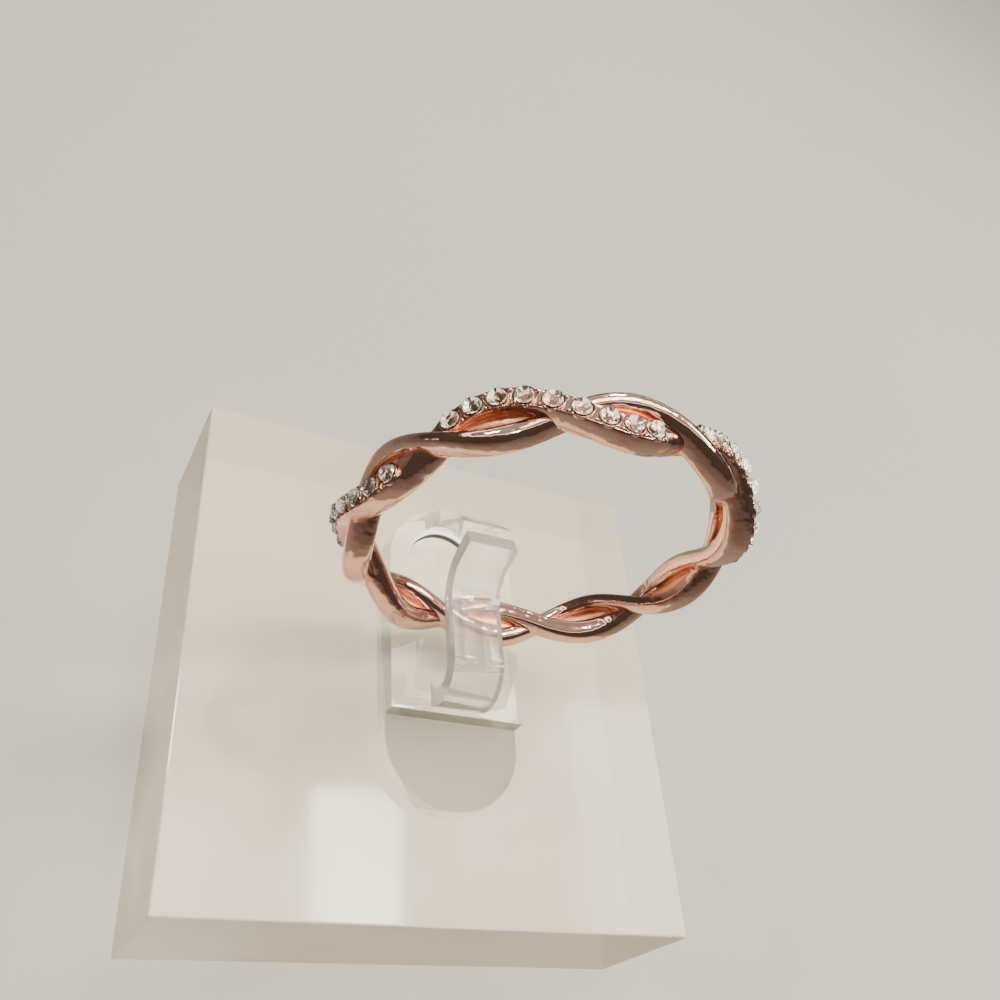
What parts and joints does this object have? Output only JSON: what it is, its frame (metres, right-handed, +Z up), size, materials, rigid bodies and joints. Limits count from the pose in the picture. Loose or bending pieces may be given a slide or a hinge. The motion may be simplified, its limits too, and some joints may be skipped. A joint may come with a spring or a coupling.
{
  "type": "twist ring on clear clip stand",
  "caption": "Two-strand twisted finger ring with round stones set in cups along one strand, held upright by a clear spring clip on a clear square block.",
  "frame": {"origin": "middle of the block's underside, at the middle of the part's bounding box in X and Y", "axes": "+X along the block's front edge and across the ring from side to side, +Y from the front edge to the back, along the finger hole, +Z up"},
  "size_m": [0.03, 0.03, 0.0323],
  "materials": {
    "rose_metal": "polished rose plating",
    "clear_clip": "clear plastic",
    "clear_block": "clear, slightly milky plastic",
    "stone": "cut and polished"
  },
  "bodies": {
    "root": {"twist_band": "rose_metal", "ring_clip": "clear_clip", "display_block": "clear_block", "stone_01": "stone", "stone_02": "stone", "stone_03": "stone", "stone_04": "stone", "stone_05": "stone", "stone_06": "stone", "stone_07": "stone", "stone_08": "stone", "stone_09": "stone", "stone_10": "stone", "stone_11": "stone", "stone_12": "stone", "stone_13": "stone", "stone_14": "stone", "stone_15": "stone", "stone_16": "stone", "stone_17": "stone", "stone_18": "stone", "stone_19": "stone", "stone_20": "stone", "stone_21": "stone", "stone_22": "stone", "stone_23": "stone", "stone_24": "stone", "stone_25": "stone", "stone_26": "stone", "stone_27": "stone"}
  },
  "joints": []
}
